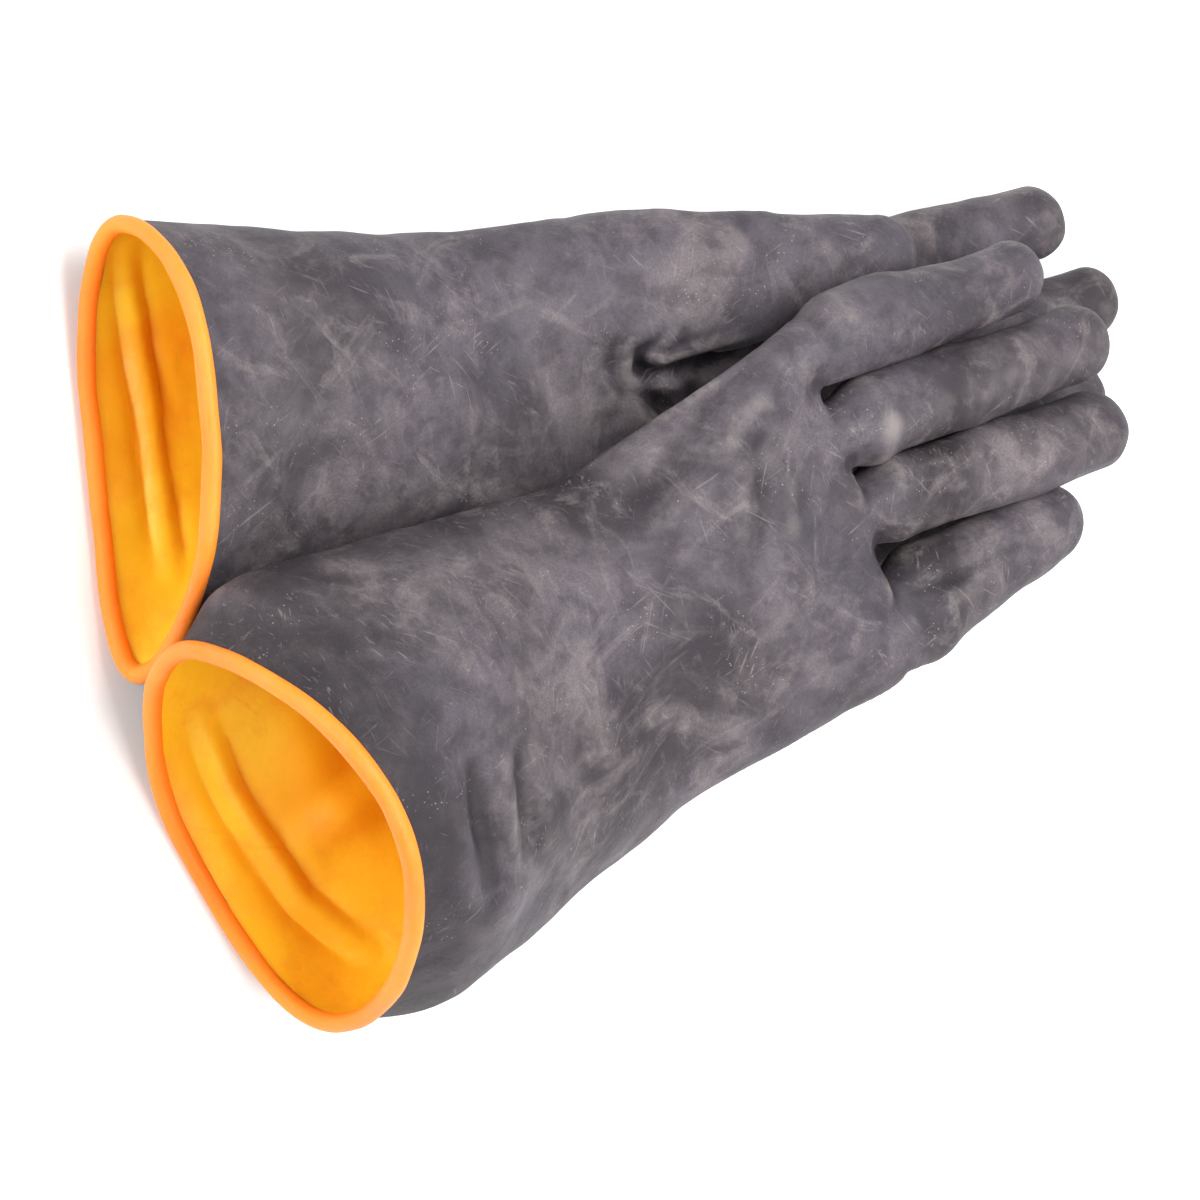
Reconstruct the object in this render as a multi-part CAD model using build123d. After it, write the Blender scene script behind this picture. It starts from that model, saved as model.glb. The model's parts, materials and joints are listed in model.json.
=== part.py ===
from build123d import *
import os
from math import cos, radians, sin

# A pair of gauntlet-cuffed rubber insulating gloves, resting one on the other on a flat surface.
#
# Each glove is one dipped moulding of two bonded layers, a black outer skin over an orange lining, with a
# rolled bead round the cuff.  The left glove lies on its back, palm up, and the right glove lies on it, palm
# down.  +X runs from the cuffs to the fingertips, +Z is up, millimetres.  The origin is the middle of the
# footprint, on the surface.  Each layer is parted where the rubber bends, so that every region which moves is
# its own solid.

# ---------------------------------------------------------------- driving dimensions
OUTER_LAYER = 1.4
LINING = 0.9
WALL = OUTER_LAYER + LINING
BEAD_RADIUS = 3.0
BEAD_PRESSED = 0.4       # how far the bead is flattened where it rests
RUNNING_GAP = 0.6        # between two solids that bend against each other
FINGER_RADIUS = 13.6     # at the knuckle
FINGERTIP_RADIUS = 12.4
KNUCKLE_BARREL = 1.28    # radius of a bending joint's barrel over half the height of what it parts
STUB = 24.0              # how far back into the hand a finger's own tube reaches
FAR = 500.0              # longer than any part, for half spaces

LEVEL = Vector(0, 1, 0)      # a finger that lifts turns about a level axis
UPRIGHT = Vector(0, 0, 1)    # a thumb that swings out turns about an upright one


def above_surface(height=0.0):
    """All that lies above the surface the gloves rest on, or above a height over it."""
    return Pos(0, 0, FAR / 2 + height) * Box(2 * FAR, 2 * FAR, FAR)


class Station:
    """One cross-section of an arm, an arch over a belly: where its widest line is, which way the arm runs
    there, its width, its height, and the share of the height that lies below the widest line."""

    def __init__(self, middle, yaw, width, height, belly=0.5, roll=0.0, lean=0.0):
        heading, tilt, pitch = radians(yaw), radians(roll), radians(lean)
        level = Vector(-sin(heading), cos(heading), 0)
        self.along = Vector(cos(heading) * cos(pitch), sin(heading) * cos(pitch), -sin(pitch))
        self.across = level * cos(tilt) + self.along.cross(level) * sin(tilt)
        self.middle = Vector(*middle)
        self.half_width = width / 2
        self.rise = height * (1 - belly)
        self.drop = height * belly

    def plane(self, shift=0.0):
        return Plane(self.middle + self.along * shift, x_dir=self.across, z_dir=self.along)

    def outline(self, inset):
        wide = self.half_width - inset
        arch = EllipticalCenterArc((0, 0), wide, self.rise - inset, start_angle=0, arc_size=180)
        belly = EllipticalCenterArc((0, 0), wide, self.drop - inset, start_angle=180, arc_size=180)
        return arch + belly


class Digit:
    """A finger or thumb: a tapered round stall from its knuckle to its tip, and the axis it bends about."""

    def __init__(self, knuckle, tip, turn=LEVEL, radius=FINGER_RADIUS, tip_radius=FINGERTIP_RADIUS):
        self.knuckle, self.radius, self.tip_radius = Vector(*knuckle), radius, tip_radius
        reach = Vector(*tip) - self.knuckle
        self.along, self.length = reach.normalized(), reach.length
        self.axis = (turn - self.along * turn.dot(self.along)).normalized()
        self.barrel = radius * KNUCKLE_BARREL

    def seat(self):
        return Plane(self.knuckle, x_dir=self.along, z_dir=self.axis)

    def form(self, inset):
        """The filled stall, smaller by inset all round, domed at the tip and at its root in the hand."""
        root, end = self.radius - inset, self.tip_radius - inset
        dome = self.length - self.tip_radius
        outline = RadiusArc((-STUB - root, 0), (-STUB, root), root)
        outline += Polyline((-STUB, root), (0, root), (dome, end))
        outline += RadiusArc((dome, end), (dome + end, 0), end)
        outline += Line((dome + end, 0), (-STUB - root, 0))
        return self.seat() * revolve(make_face(outline), Axis.X)

    def root_side(self, barrel):
        """All that lies behind the knuckle, with the round barrel that the stall turns on."""
        behind = self.seat() * Pos(-FAR / 2, 0, 0) * Box(FAR, FAR, FAR)
        return behind + self.seat() * Cylinder(barrel, 4 * self.radius)


class Glove:
    """One glove: the sections of its arm from cuff to knuckles, which one is the wrist, and its digits."""

    def __init__(self, stations, digits, wrist_bends, bending):
        self.stations, self.digits, self.bending = stations, digits, bending
        self.wrist = stations[2]
        self.wrist_barrel = self.wrist.rise * KNUCKLE_BARREL if wrist_bends else 0.0
        self.wrist_gap = RUNNING_GAP if wrist_bends else 0.0

    def arm(self, inset):
        """The filled sleeve and palm, smaller by inset all round, flat where it rests on the surface."""
        last = self.stations[-1]
        faces = [s.plane() * make_face(s.outline(inset)) for s in self.stations[:-1]]
        faces.append(last.plane(-inset) * make_face(last.outline(inset)))
        return loft(faces) & above_surface(inset)

    def cuff_side(self, barrel):
        """All that lies on the cuff side of the wrist, with the barrel that the hand turns on if it bends."""
        behind = self.wrist.plane() * Pos(0, 0, -FAR / 2) * Box(FAR, FAR, FAR)
        if barrel:
            turning = Plane(self.wrist.middle, x_dir=self.wrist.along, z_dir=self.wrist.across)
            behind += turning * Cylinder(barrel, 4 * self.wrist.half_width)
        return behind

    def filled(self, inset):
        """{region: filled solid}, every one smaller by inset all round."""
        arm = self.arm(inset)
        hand = arm
        regions = {"gauntlet": arm & self.cuff_side(self.wrist_barrel - self.wrist_gap)}
        for name, digit in self.digits.items():
            gap = RUNNING_GAP if name in self.bending else 0.0
            stall = digit.form(inset) & above_surface(inset)
            hand += stall & digit.root_side(digit.barrel - gap)
            regions[name] = stall - digit.root_side(digit.barrel)
        regions["hand"] = hand - self.cuff_side(self.wrist_barrel)
        return regions

    def cuff_bead(self):
        """The rolled rim: a round bead on the middle of the wall, pressed slightly flat on the surface."""
        station = self.stations[0]
        rim = station.plane(-BEAD_RADIUS) * make_face(station.outline(WALL / 2))
        path = (rim & above_surface(BEAD_RADIUS - BEAD_PRESSED)).face().outer_wire()
        bead = Part()
        for edge in path.edges():
            bead += sweep(Plane(edge @ 0, z_dir=edge % 0) * Circle(BEAD_RADIUS), path=edge)
        for corner in path.vertices():
            bead += Pos(corner.X, corner.Y, corner.Z) * Sphere(BEAD_RADIUS)
        return bead & above_surface()

    def parts(self, side):
        """{node: solid}: the outer skin and the lining of each region, and the bead."""
        skin, between, inside = (self.filled(depth) for depth in (0.0, OUTER_LAYER, WALL))
        solids = {f"{side}_cuff_bead": self.cuff_bead()}
        for region in skin:
            solids[f"{side}_{region}_outer"] = skin[region] - between[region]
            solids[f"{side}_{region}_lining"] = between[region] - inside[region]
        return solids


right_glove = Glove(
    stations=[
        Station((-123, -74, 42), 31, 134, 112, belly=0.39, roll=15, lean=9),
        Station((-71, -44, 47), 31, 142, 86, belly=0.42, roll=16, lean=4),
        Station((-8, -16, 43), 30, 118, 60, belly=0.45, roll=13),
        Station((44, 14, 68), 29, 118, 34, roll=8),
        Station((80, 32, 66), 27, 120, 32, roll=6),
    ],
    digits={
        "thumb": Digit((42, 24, 41.6), (92, 4, 35), UPRIGHT, radius=9.4, tip_radius=9.0),
        "index": Digit((66, 80, 70), (152, 109, 51)),
        "middle": Digit((84, 55, 68), (182, 88, 48)),
        "ring": Digit((98, 28, 63), (190, 60, 46)),
        "little": Digit((103, -1, 57), (173, 29, 45), radius=13.0, tip_radius=12.0),
    },
    wrist_bends=True,
    bending={"index", "middle", "ring", "little"},
)

left_glove = Glove(
    stations=[
        Station((-157, 48, 20), 6, 134, 66, belly=0.36, roll=6, lean=12),
        Station((-100, 64, 20), 4, 100, 56, belly=0.42, lean=4),
        Station((-35, 64, 18), 4, 98, 38, belly=0.52),
        Station((35, 66, 13), 6, 116, 30),
        Station((84, 64, 13), 10, 116, 28),
    ],
    digits={
        "thumb": Digit((34, 103, 40), (108, 114, 43.5), UPRIGHT, radius=17.5, tip_radius=12.4),
        "index": Digit((100, 106, 14), (186, 130, 19)),
        "middle": Digit((110, 77, 14), (209, 104, 19)),
        "ring": Digit((109, 48, 14), (204, 73, 18)),
        "little": Digit((102, 18, 13.5), (184, 40, 16), radius=13.0, tip_radius=12.0),
    },
    wrist_bends=False,
    bending={"thumb"},
)

nodes = right_glove.parts("right") | left_glove.parts("left")

boxes = [solid.bounding_box() for solid in nodes.values()]
lows = [min(corner) for corner in zip(*((b.min.X, b.min.Y, b.min.Z) for b in boxes))]
highs = [max(corner) for corner in zip(*((b.max.X, b.max.Y, b.max.Z) for b in boxes))]
to_origin = Pos(-(lows[0] + highs[0]) / 2, -(lows[1] + highs[1]) / 2, -lows[2])

os.makedirs("parts", exist_ok=True)
for name, solid in nodes.items():
    export_step(solid.moved(to_origin), f"parts/{name}.step")
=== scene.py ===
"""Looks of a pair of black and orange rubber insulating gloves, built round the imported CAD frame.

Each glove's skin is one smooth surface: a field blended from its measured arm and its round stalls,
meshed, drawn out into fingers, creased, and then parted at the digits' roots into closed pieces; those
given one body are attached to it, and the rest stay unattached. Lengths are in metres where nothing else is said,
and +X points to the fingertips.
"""

import json
from math import pi, radians

import bmesh
import bpy
import numpy as np
import openvdb
from mathutils import Matrix, Vector


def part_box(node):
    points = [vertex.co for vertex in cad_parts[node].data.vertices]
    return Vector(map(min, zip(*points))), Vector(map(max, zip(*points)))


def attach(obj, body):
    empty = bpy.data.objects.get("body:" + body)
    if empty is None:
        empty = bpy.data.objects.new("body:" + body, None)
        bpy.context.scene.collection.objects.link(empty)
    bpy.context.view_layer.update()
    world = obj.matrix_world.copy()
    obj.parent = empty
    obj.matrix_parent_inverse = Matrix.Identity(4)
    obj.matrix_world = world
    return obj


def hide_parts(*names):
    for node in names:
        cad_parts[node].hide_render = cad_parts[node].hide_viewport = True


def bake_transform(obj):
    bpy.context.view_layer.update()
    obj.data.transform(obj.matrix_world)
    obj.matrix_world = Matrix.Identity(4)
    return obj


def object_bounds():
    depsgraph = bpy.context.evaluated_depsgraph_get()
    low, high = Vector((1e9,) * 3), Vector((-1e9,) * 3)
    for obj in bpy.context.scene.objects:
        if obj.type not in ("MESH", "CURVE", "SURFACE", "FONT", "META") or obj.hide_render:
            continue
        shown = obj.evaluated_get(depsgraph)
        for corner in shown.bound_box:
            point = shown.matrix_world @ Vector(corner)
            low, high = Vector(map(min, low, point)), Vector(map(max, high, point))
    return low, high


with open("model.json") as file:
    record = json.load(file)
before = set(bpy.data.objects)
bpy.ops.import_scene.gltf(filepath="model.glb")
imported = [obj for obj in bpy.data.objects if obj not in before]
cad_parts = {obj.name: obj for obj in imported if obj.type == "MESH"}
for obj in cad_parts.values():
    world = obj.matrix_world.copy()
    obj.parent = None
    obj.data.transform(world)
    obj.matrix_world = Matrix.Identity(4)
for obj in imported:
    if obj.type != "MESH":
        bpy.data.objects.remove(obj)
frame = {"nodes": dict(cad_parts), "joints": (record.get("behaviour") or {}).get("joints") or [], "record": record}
cad_box = [list(corner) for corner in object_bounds()]

# ---------------------------------------------------------------- sizes
OUTER_LAYER = 0.0014
LINING = 0.0009
BEAD_RADIUS = 0.0029
CELL = 0.0016      # of the field that the skin is meshed from
FINGERS = ("index", "middle", "ring", "little")
DIGITS = ("thumb",) + FINGERS

# where the skin is parted
FINGER_CUT = 0.0020         # the fingers' common cut plane, beyond the end of the palm
THUMB_CUT = 0.004           # the thumb's cut, beyond its root
CUFF_REACH = 0.12           # from the cuff's centre to well outside its rim
FINGER_AROUND = 0.021       # a finger's own stretch of the cut plane, from its axis
FINGER_BEHIND = 0.02        # how far behind the cut a point still counts as close to a finger
THUMB_CLEAR = 0.0012        # the cut stays this far away from the thumb

# the cones in the palm that end in the fingers' roots, and how widely parts blend
CONE_BACK_MM = 44           # they begin this far behind the last station
CONE_AHEAD = 0.010          # and end this far beyond the cut
CONE_FANNED = 0.86          # how closely set they begin, as a share of their spacing at the cut
CONE_NARROW = 0.55          # their radius where they begin, as a share of the finger's
CONE_WIDE = 0.96            # the same at the cut
THUMB_BURIED = 0.030        # how far behind its root the right thumb begins
PALM_BLEND, CROTCH_BLEND = 0.007, 0.0012
PALM_BLEND_START, PALM_BLEND_STOP = 0.020, 0.001          # before and beyond the palm's end
BALL_BLEND, THUMB_BLEND = 0.014, 0.002
BALL_BLEND_START = 0.034    # behind the thumb's root
FLOOR_GAP, FLOOR_BLEND = 0.0004, 0.008

# the fingers drawn out from the cut
SWELLS = ((0.42, 0.09, 0.022), (0.72, 0.07, 0.014))       # finger joints: place, spread, height
OVAL = 0.035                # how much wider than round a finger is, as a share of its radius
FLARE_FADE = 1.35           # power by which a root's flare dies away towards the tip
WEB_START, WEB_STOP = 0.004, 0.026                        # where a web fades, from the cut
SHAPED = 0.014              # where a ring has lost the outline of the cut
LEVELLED = 0.022            # where a ring has lost the slant of the cut
TIP_STEPS = 14              # from ring to ring over a rounded fingertip

BEAD_RINGS, BEAD_SECTION = 280, 20                        # vertices along a bead and around it


# ---------------------------------------------------------------- small vector tools
def unit(v):
    v = np.asarray(v, float)
    return v / np.linalg.norm(v, axis=-1, keepdims=True)


def mix(a, b, share):
    return a + (b - a) * share


def smooth_step(x, low, high):
    x = np.clip((x - low) / (high - low), 0.0, 1.0)
    return x * x * (3 - 2 * x)


def smooth_union(a, b, width):
    h = np.clip(0.5 + 0.5 * (b - a) / width, 0.0, 1.0)
    return mix(b, a, h) - width * h * (1 - h)


def waves(points, seed, shortest, longest, count=28):
    """Smooth random relief between -1 and 1, made of plane waves in a band of wavelengths."""
    rng = np.random.default_rng(seed)
    total = np.zeros(len(points))
    for _ in range(count):
        along = unit(rng.normal(size=3)) * 2 * pi / rng.uniform(shortest, longest)
        total += np.sin(points @ along + rng.uniform(0, 2 * pi))
    return total / np.sqrt(count)


def path_distance(points, path):
    """Distance from each point to a path, and how far along it the nearest place is, from 0 to 1."""
    best = np.full(len(points), 1e9)
    share = np.zeros(len(points))
    for k in range(len(path) - 1):
        a, step = path[k], path[k + 1] - path[k]
        t = np.clip((points - a) @ step / (step @ step), 0, 1)
        d = np.linalg.norm(points - a - t[:, None] * step, axis=1)
        closer = d < best
        best[closer] = d[closer]
        share[closer] = (k + t[closer]) / (len(path) - 1)
    return best, share


# ---------------------------------------------------------------- what the CAD model says
def cad_mesh(*nodes):
    """Vertices and triangles of CAD nodes, as arrays."""
    points, triangles, base = [], [], 0
    for node in nodes:
        mesh = frame["nodes"][node].data
        co = np.empty(len(mesh.vertices) * 3)
        mesh.vertices.foreach_get("co", co)
        mesh.calc_loop_triangles()
        tri = np.empty(len(mesh.loop_triangles) * 3, int)
        mesh.loop_triangles.foreach_get("vertices", tri)
        points.append(co.reshape(-1, 3))
        triangles.append(tri.reshape(-1, 3) + base)
        base += len(mesh.vertices)
    return np.vstack(points), np.vstack(triangles)


def mount(name):
    found = next(m for m in frame["record"]["mounts"] if m["name"] == name)
    return np.array(found["pos_m"]), unit(found["axis"])


class Stall:
    """A finger or thumb, measured on its CAD node: root, direction, length and both radii.
    Its root may be set aside by a few millimetres, to where the skin's own finger starts."""

    def __init__(self, node, aside=(0, 0, 0)):
        points, triangles = cad_mesh(node)
        a, b, c = (points[triangles[:, k]] for k in range(3))
        area = np.linalg.norm(np.cross(b - a, c - a), axis=1)
        middle = (a + b + c) / 3
        centre = (middle * area[:, None]).sum(0) / area.sum()
        spread = (middle - centre) * np.sqrt(area)[:, None]
        along = np.linalg.eigh(spread.T @ spread)[1][:, 2]
        self.along = along * np.sign(along[0])
        reach = (points - centre) @ self.along
        off = np.linalg.norm(points - centre - reach[:, None] * self.along, axis=1)
        low, high = reach.min(), reach.max()
        third = (high - low) / 3
        self.radius = off[reach < low + third].max()
        self.tip_radius = off[(reach > high - third) & (reach < high - 0.6 * self.radius)].max()
        tip = centre + self.along * high
        self.root = centre + self.along * low + np.array(aside) / 1000
        self.along, self.length = unit(tip - self.root), np.linalg.norm(tip - self.root)
        self.side = unit(np.cross((0, 0, 1), self.along))
        self.up = np.cross(self.along, self.side)


class Arm:
    """Sleeve and palm: sections from the cuff to the knuckles, each an arch over a flatter belly.
    A station is its middle, yaw, width, height, the share of height in the belly, roll, lean, and how
    much higher the arch stands towards +Y than away from it, in mm and degrees. The palm's end is
    rounded off over a depth."""

    def __init__(self, side, stations, count=72, depth=0.0065):
        self.cuff, outward = mount(side + "_cuff_opening")
        self.rim_normal = -outward
        table = np.array(stations, float)
        steps = np.linalg.norm(np.diff(table[:, :3], axis=0), axis=1)
        marks = np.concatenate([[0], np.cumsum(steps)])
        spots = np.linspace(-16, marks[-1], count)             # from a little outside the cuff
        middle, (yaw, width, height, belly, roll, lean, skew) = self._eased(marks, table, spots)
        yaw, roll, lean = (angle * pi / 180 for angle in (yaw, roll, lean))
        ahead = [np.cos(yaw) * np.cos(lean), np.sin(yaw) * np.cos(lean), -np.sin(lean)]
        self.normals = np.stack(ahead, -1)
        level = np.stack([-np.sin(yaw), np.cos(yaw), 0 * yaw], -1)
        tilted = np.cross(self.normals, level) * np.sin(roll)[:, None]
        self.levels = level * np.cos(roll)[:, None] + tilted
        self.uprights = np.cross(self.normals, self.levels)
        self.centres = middle / 1000
        self.sizes = np.stack([width / 2, height * (1 - belly), height * belly], -1) / 1000
        self.forward = self.normals[-1]
        rounding = (0.3, 0.55, 0.75, 0.9, 0.98, 1.0)
        self.skew = np.append(skew, [skew[-1]] * len(rounding))
        for share in rounding:
            inset = depth * (1 - np.sqrt(1 - share * share))
            centre = self.centres[count - 1] + self.forward * depth * share
            self.centres = np.vstack([self.centres, centre])
            self.sizes = np.vstack([self.sizes, self.sizes[count - 1] - inset])
            for axes in ("normals", "levels", "uprights"):
                rows = getattr(self, axes)
                setattr(self, axes, np.vstack([rows, rows[-1]]))
        self.end = self.centres[-1] @ self.forward
        self.marks, self.spots = marks, spots

    def _eased(self, marks, table, spots):
        """Every column of the stations, eased by a cubic between them, and straight before the first."""
        slopes = np.gradient(table, marks, axis=0)
        k = np.clip(np.searchsorted(marks, spots) - 1, 0, len(marks) - 2)
        span = (marks[k + 1] - marks[k])[:, None]
        t = ((spots - marks[k]) / span[:, 0])[:, None]
        bent = (2 * t**3 - 3 * t**2 + 1) * table[k] + (t**3 - 2 * t**2 + t) * span * slopes[k]
        bent += (3 * t**2 - 2 * t**3) * table[k + 1] + (t**3 - t**2) * span * slopes[k + 1]
        plain = table[0] + (spots - marks[0])[:, None] * slopes[0]
        bent = np.where(spots[:, None] < 0, plain, bent)
        return bent[:, :3], bent[:, 3:].T

    def field(self, points):
        """Roughly how far each point is outside the arm."""
        reach = points @ self.normals.T - (self.centres * self.normals).sum(1)
        k = np.clip((reach >= 0).sum(1) - 1, 0, len(self.centres) - 2)
        rows = np.arange(len(points))
        ahead = reach[rows, k] - reach[rows, k + 1]
        t = np.clip(reach[rows, k] / np.where(np.abs(ahead) < 1e-9, 1e-9, ahead), -4, 1)[:, None]
        offset = points - mix(self.centres[k], self.centres[k + 1], t)
        t = np.clip(t, 0, 1)
        a = (offset * mix(self.levels[k], self.levels[k + 1], t)).sum(1)
        b = (offset * mix(self.uprights[k], self.uprights[k + 1], t)).sum(1)
        wide, rise, drop = mix(self.sizes[k], self.sizes[k + 1], t).T
        lopsided = 1 + mix(self.skew[k], self.skew[k + 1], t[:, 0]) * np.clip(a / wide, -1, 1)
        tall = np.where(b > 0, rise * lopsided, drop)
        spread = np.hypot(a / wide, b / tall)
        steep = np.hypot(a / wide**2, b / tall**2) / np.maximum(spread, 1e-6)
        return np.maximum((spread - 1) / np.maximum(steep, 1e-3), reach[:, -1])


def cone_field(points, start, end, start_radius, end_radius, flat=(1.0, 1.0)):
    """Distance outside a round-ended cone, whose height may be a share of its width at each end."""
    step = end - start
    t = np.clip((points - start) @ step / (step @ step), 0, 1)
    off = points - start - t[:, None] * step
    off[:, 2] /= mix(flat[0], flat[1], t)
    return np.linalg.norm(off, axis=1) - mix(start_radius, end_radius, t)


# ---------------------------------------------------------------- meshing a field
def meshed(field, low, high):
    """Vertices and quads of the surface where a field is zero, laid onto it closely."""
    axes = [np.arange(a, b, CELL) for a, b in zip(low, high)]
    shape = tuple(len(a) for a in axes)
    points = np.stack(np.meshgrid(*axes, indexing="ij"), -1).reshape(-1, 3)
    values = np.concatenate([field(block) for block in np.array_split(points, 12)]).reshape(shape)
    slope = np.stack(np.gradient(values, CELL), -1)     # then closer to a true distance
    values = values / np.clip(np.linalg.norm(slope, axis=-1), 0.35, 3.0)
    slope = np.stack(np.gradient(values, CELL), -1)
    grid = openvdb.FloatGrid(1.0)
    grid.copyFromArray(values.astype(np.float32))
    spots, quads = grid.convertToQuads(isovalue=0.0)
    spots, quads = np.array(spots, float), np.array(quads, int)
    edges = np.unique(np.sort(np.vstack([quads[:, [k, (k + 1) % 4]] for k in range(4)]), axis=1), axis=0)
    degree = np.bincount(edges.ravel(), minlength=len(spots))[:, None]

    def sampled(table, where):
        where = np.clip(where, 0, np.array(shape) - 1.001)
        base = where.astype(int)
        f = where - base
        total = 0
        for corner in range(8):
            step = np.array([(corner >> k) & 1 for k in range(3)])
            weight = np.prod(np.where(step, f, 1 - f), axis=1)
            index = base + step
            part = table[index[:, 0], index[:, 1], index[:, 2]]
            total = total + (part * weight[:, None] if part.ndim > 1 else part * weight)
        return total

    for _ in range(6):                         # evened out and laid back on it
        near = np.zeros_like(spots)
        for column in range(3):
            near[:, column] = np.bincount(edges[:, 0], spots[edges[:, 1], column], len(spots))
            near[:, column] += np.bincount(edges[:, 1], spots[edges[:, 0], column], len(spots))
        spots = mix(spots, near / degree, 0.5)
        away = sampled(values, spots)[:, None] / CELL
        spots = spots - unit(sampled(slope, spots)) * away
    return spots * CELL + np.array([a[0] for a in axes]), quads


def bisected(points, faces, cuts):
    """The largest part of the mesh left behind the cut planes, and the loops of vertices on its edges.
    A cut is a point on its plane, the plane's outward normal, and a test of which points it may part."""
    bm = bmesh.new()
    made = [bm.verts.new(p) for p in points]
    for face in faces:
        bm.faces.new([made[v] for v in face])
    for origin, outward, mine in cuts:
        centres = np.array([f.calc_center_median() for f in bm.faces])
        near = [f for f, chosen in zip(bm.faces, mine(centres)) if chosen]
        parts = list({e for f in near for e in f.edges} | {v for f in near for v in f.verts}) + near
        bmesh.ops.bisect_plane(bm, geom=parts, dist=CELL * 0.1, plane_co=origin, plane_no=outward)
        spots = np.array([v.co for v in bm.verts])
        gone = mine(spots) & ((spots - origin) @ outward > CELL * 0.11)
        bmesh.ops.delete(bm, geom=[v for v, chosen in zip(bm.verts, gone) if chosen], context="VERTS")
    bmesh.ops.delete(bm, geom=stray(bm), context="VERTS")
    bm.verts.index_update()
    points = np.array([v.co for v in bm.verts])
    faces = [[v.index for v in f.verts] for f in bm.faces]
    loops = walked([[v.index for v in e.verts] for e in bm.edges if e.is_boundary])
    bm.free()
    return points, faces, loops


def stray(bm):
    """All the vertices that aren't in the mesh's largest connected part."""
    left, parts = set(bm.verts), []
    while left:
        part, front = set(), [next(iter(left))]
        while front:
            part.update(front)
            front = list({e.other_vert(v) for v in front for e in v.link_edges} - part)
        parts.append(part)
        left -= part
    keep = max(parts, key=len)
    return [v for v in bm.verts if v not in keep]


def walked(edges):
    """The closed loops of vertices that a mesh's boundary edges make, longest first."""
    ahead = {}
    for a, b in edges:
        ahead.setdefault(a, set()).add(b)
        ahead.setdefault(b, set()).add(a)
    loops = []
    while ahead:
        first = here = min(ahead)
        loop = []
        while here in ahead:
            loop.append(here)
            after = min(ahead[here])
            for a, b in ((here, after), (after, here)):
                ahead[a].discard(b)
                if not ahead[a]:
                    del ahead[a]
            here = after
            if here == first:
                break
        loops.append(np.array(loop))
    return sorted(loops, key=len, reverse=True)


def largest_patch(faces, chosen):
    """Of the chosen faces, those in the largest patch that hangs together along edges."""
    sides = {}
    for k in np.flatnonzero(chosen).tolist():
        for a, b in zip(faces[k], faces[k][1:] + faces[k][:1]):
            sides.setdefault((min(a, b), max(a, b)), []).append(k)
    beside = {}
    for shared in sides.values():
        for k in shared:
            beside.setdefault(k, set()).update(shared)
    left, best = set(beside), set()
    while left:
        patch, front = set(), {min(left)}
        while front:
            patch |= front
            front = {n for k in front for n in beside[k]} - patch
        left -= patch
        best = max(best, patch, key=len)
    kept = np.zeros(len(faces), bool)
    kept[sorted(best)] = True
    return kept


def vertex_normals(points, faces):
    total = np.zeros_like(points)
    for size in {len(f) for f in faces}:
        group = np.array([f for f in faces if len(f) == size])
        first = points[group[:, 0]]
        across = np.cross(points[group[:, 1]] - first, points[group[:, 2]] - first)
        across += np.cross(points[group[:, -2]] - first, points[group[:, -1]] - first)
        for k in range(size):
            np.add.at(total, group[:, k], across)
    return unit(total + 1e-12)


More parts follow.
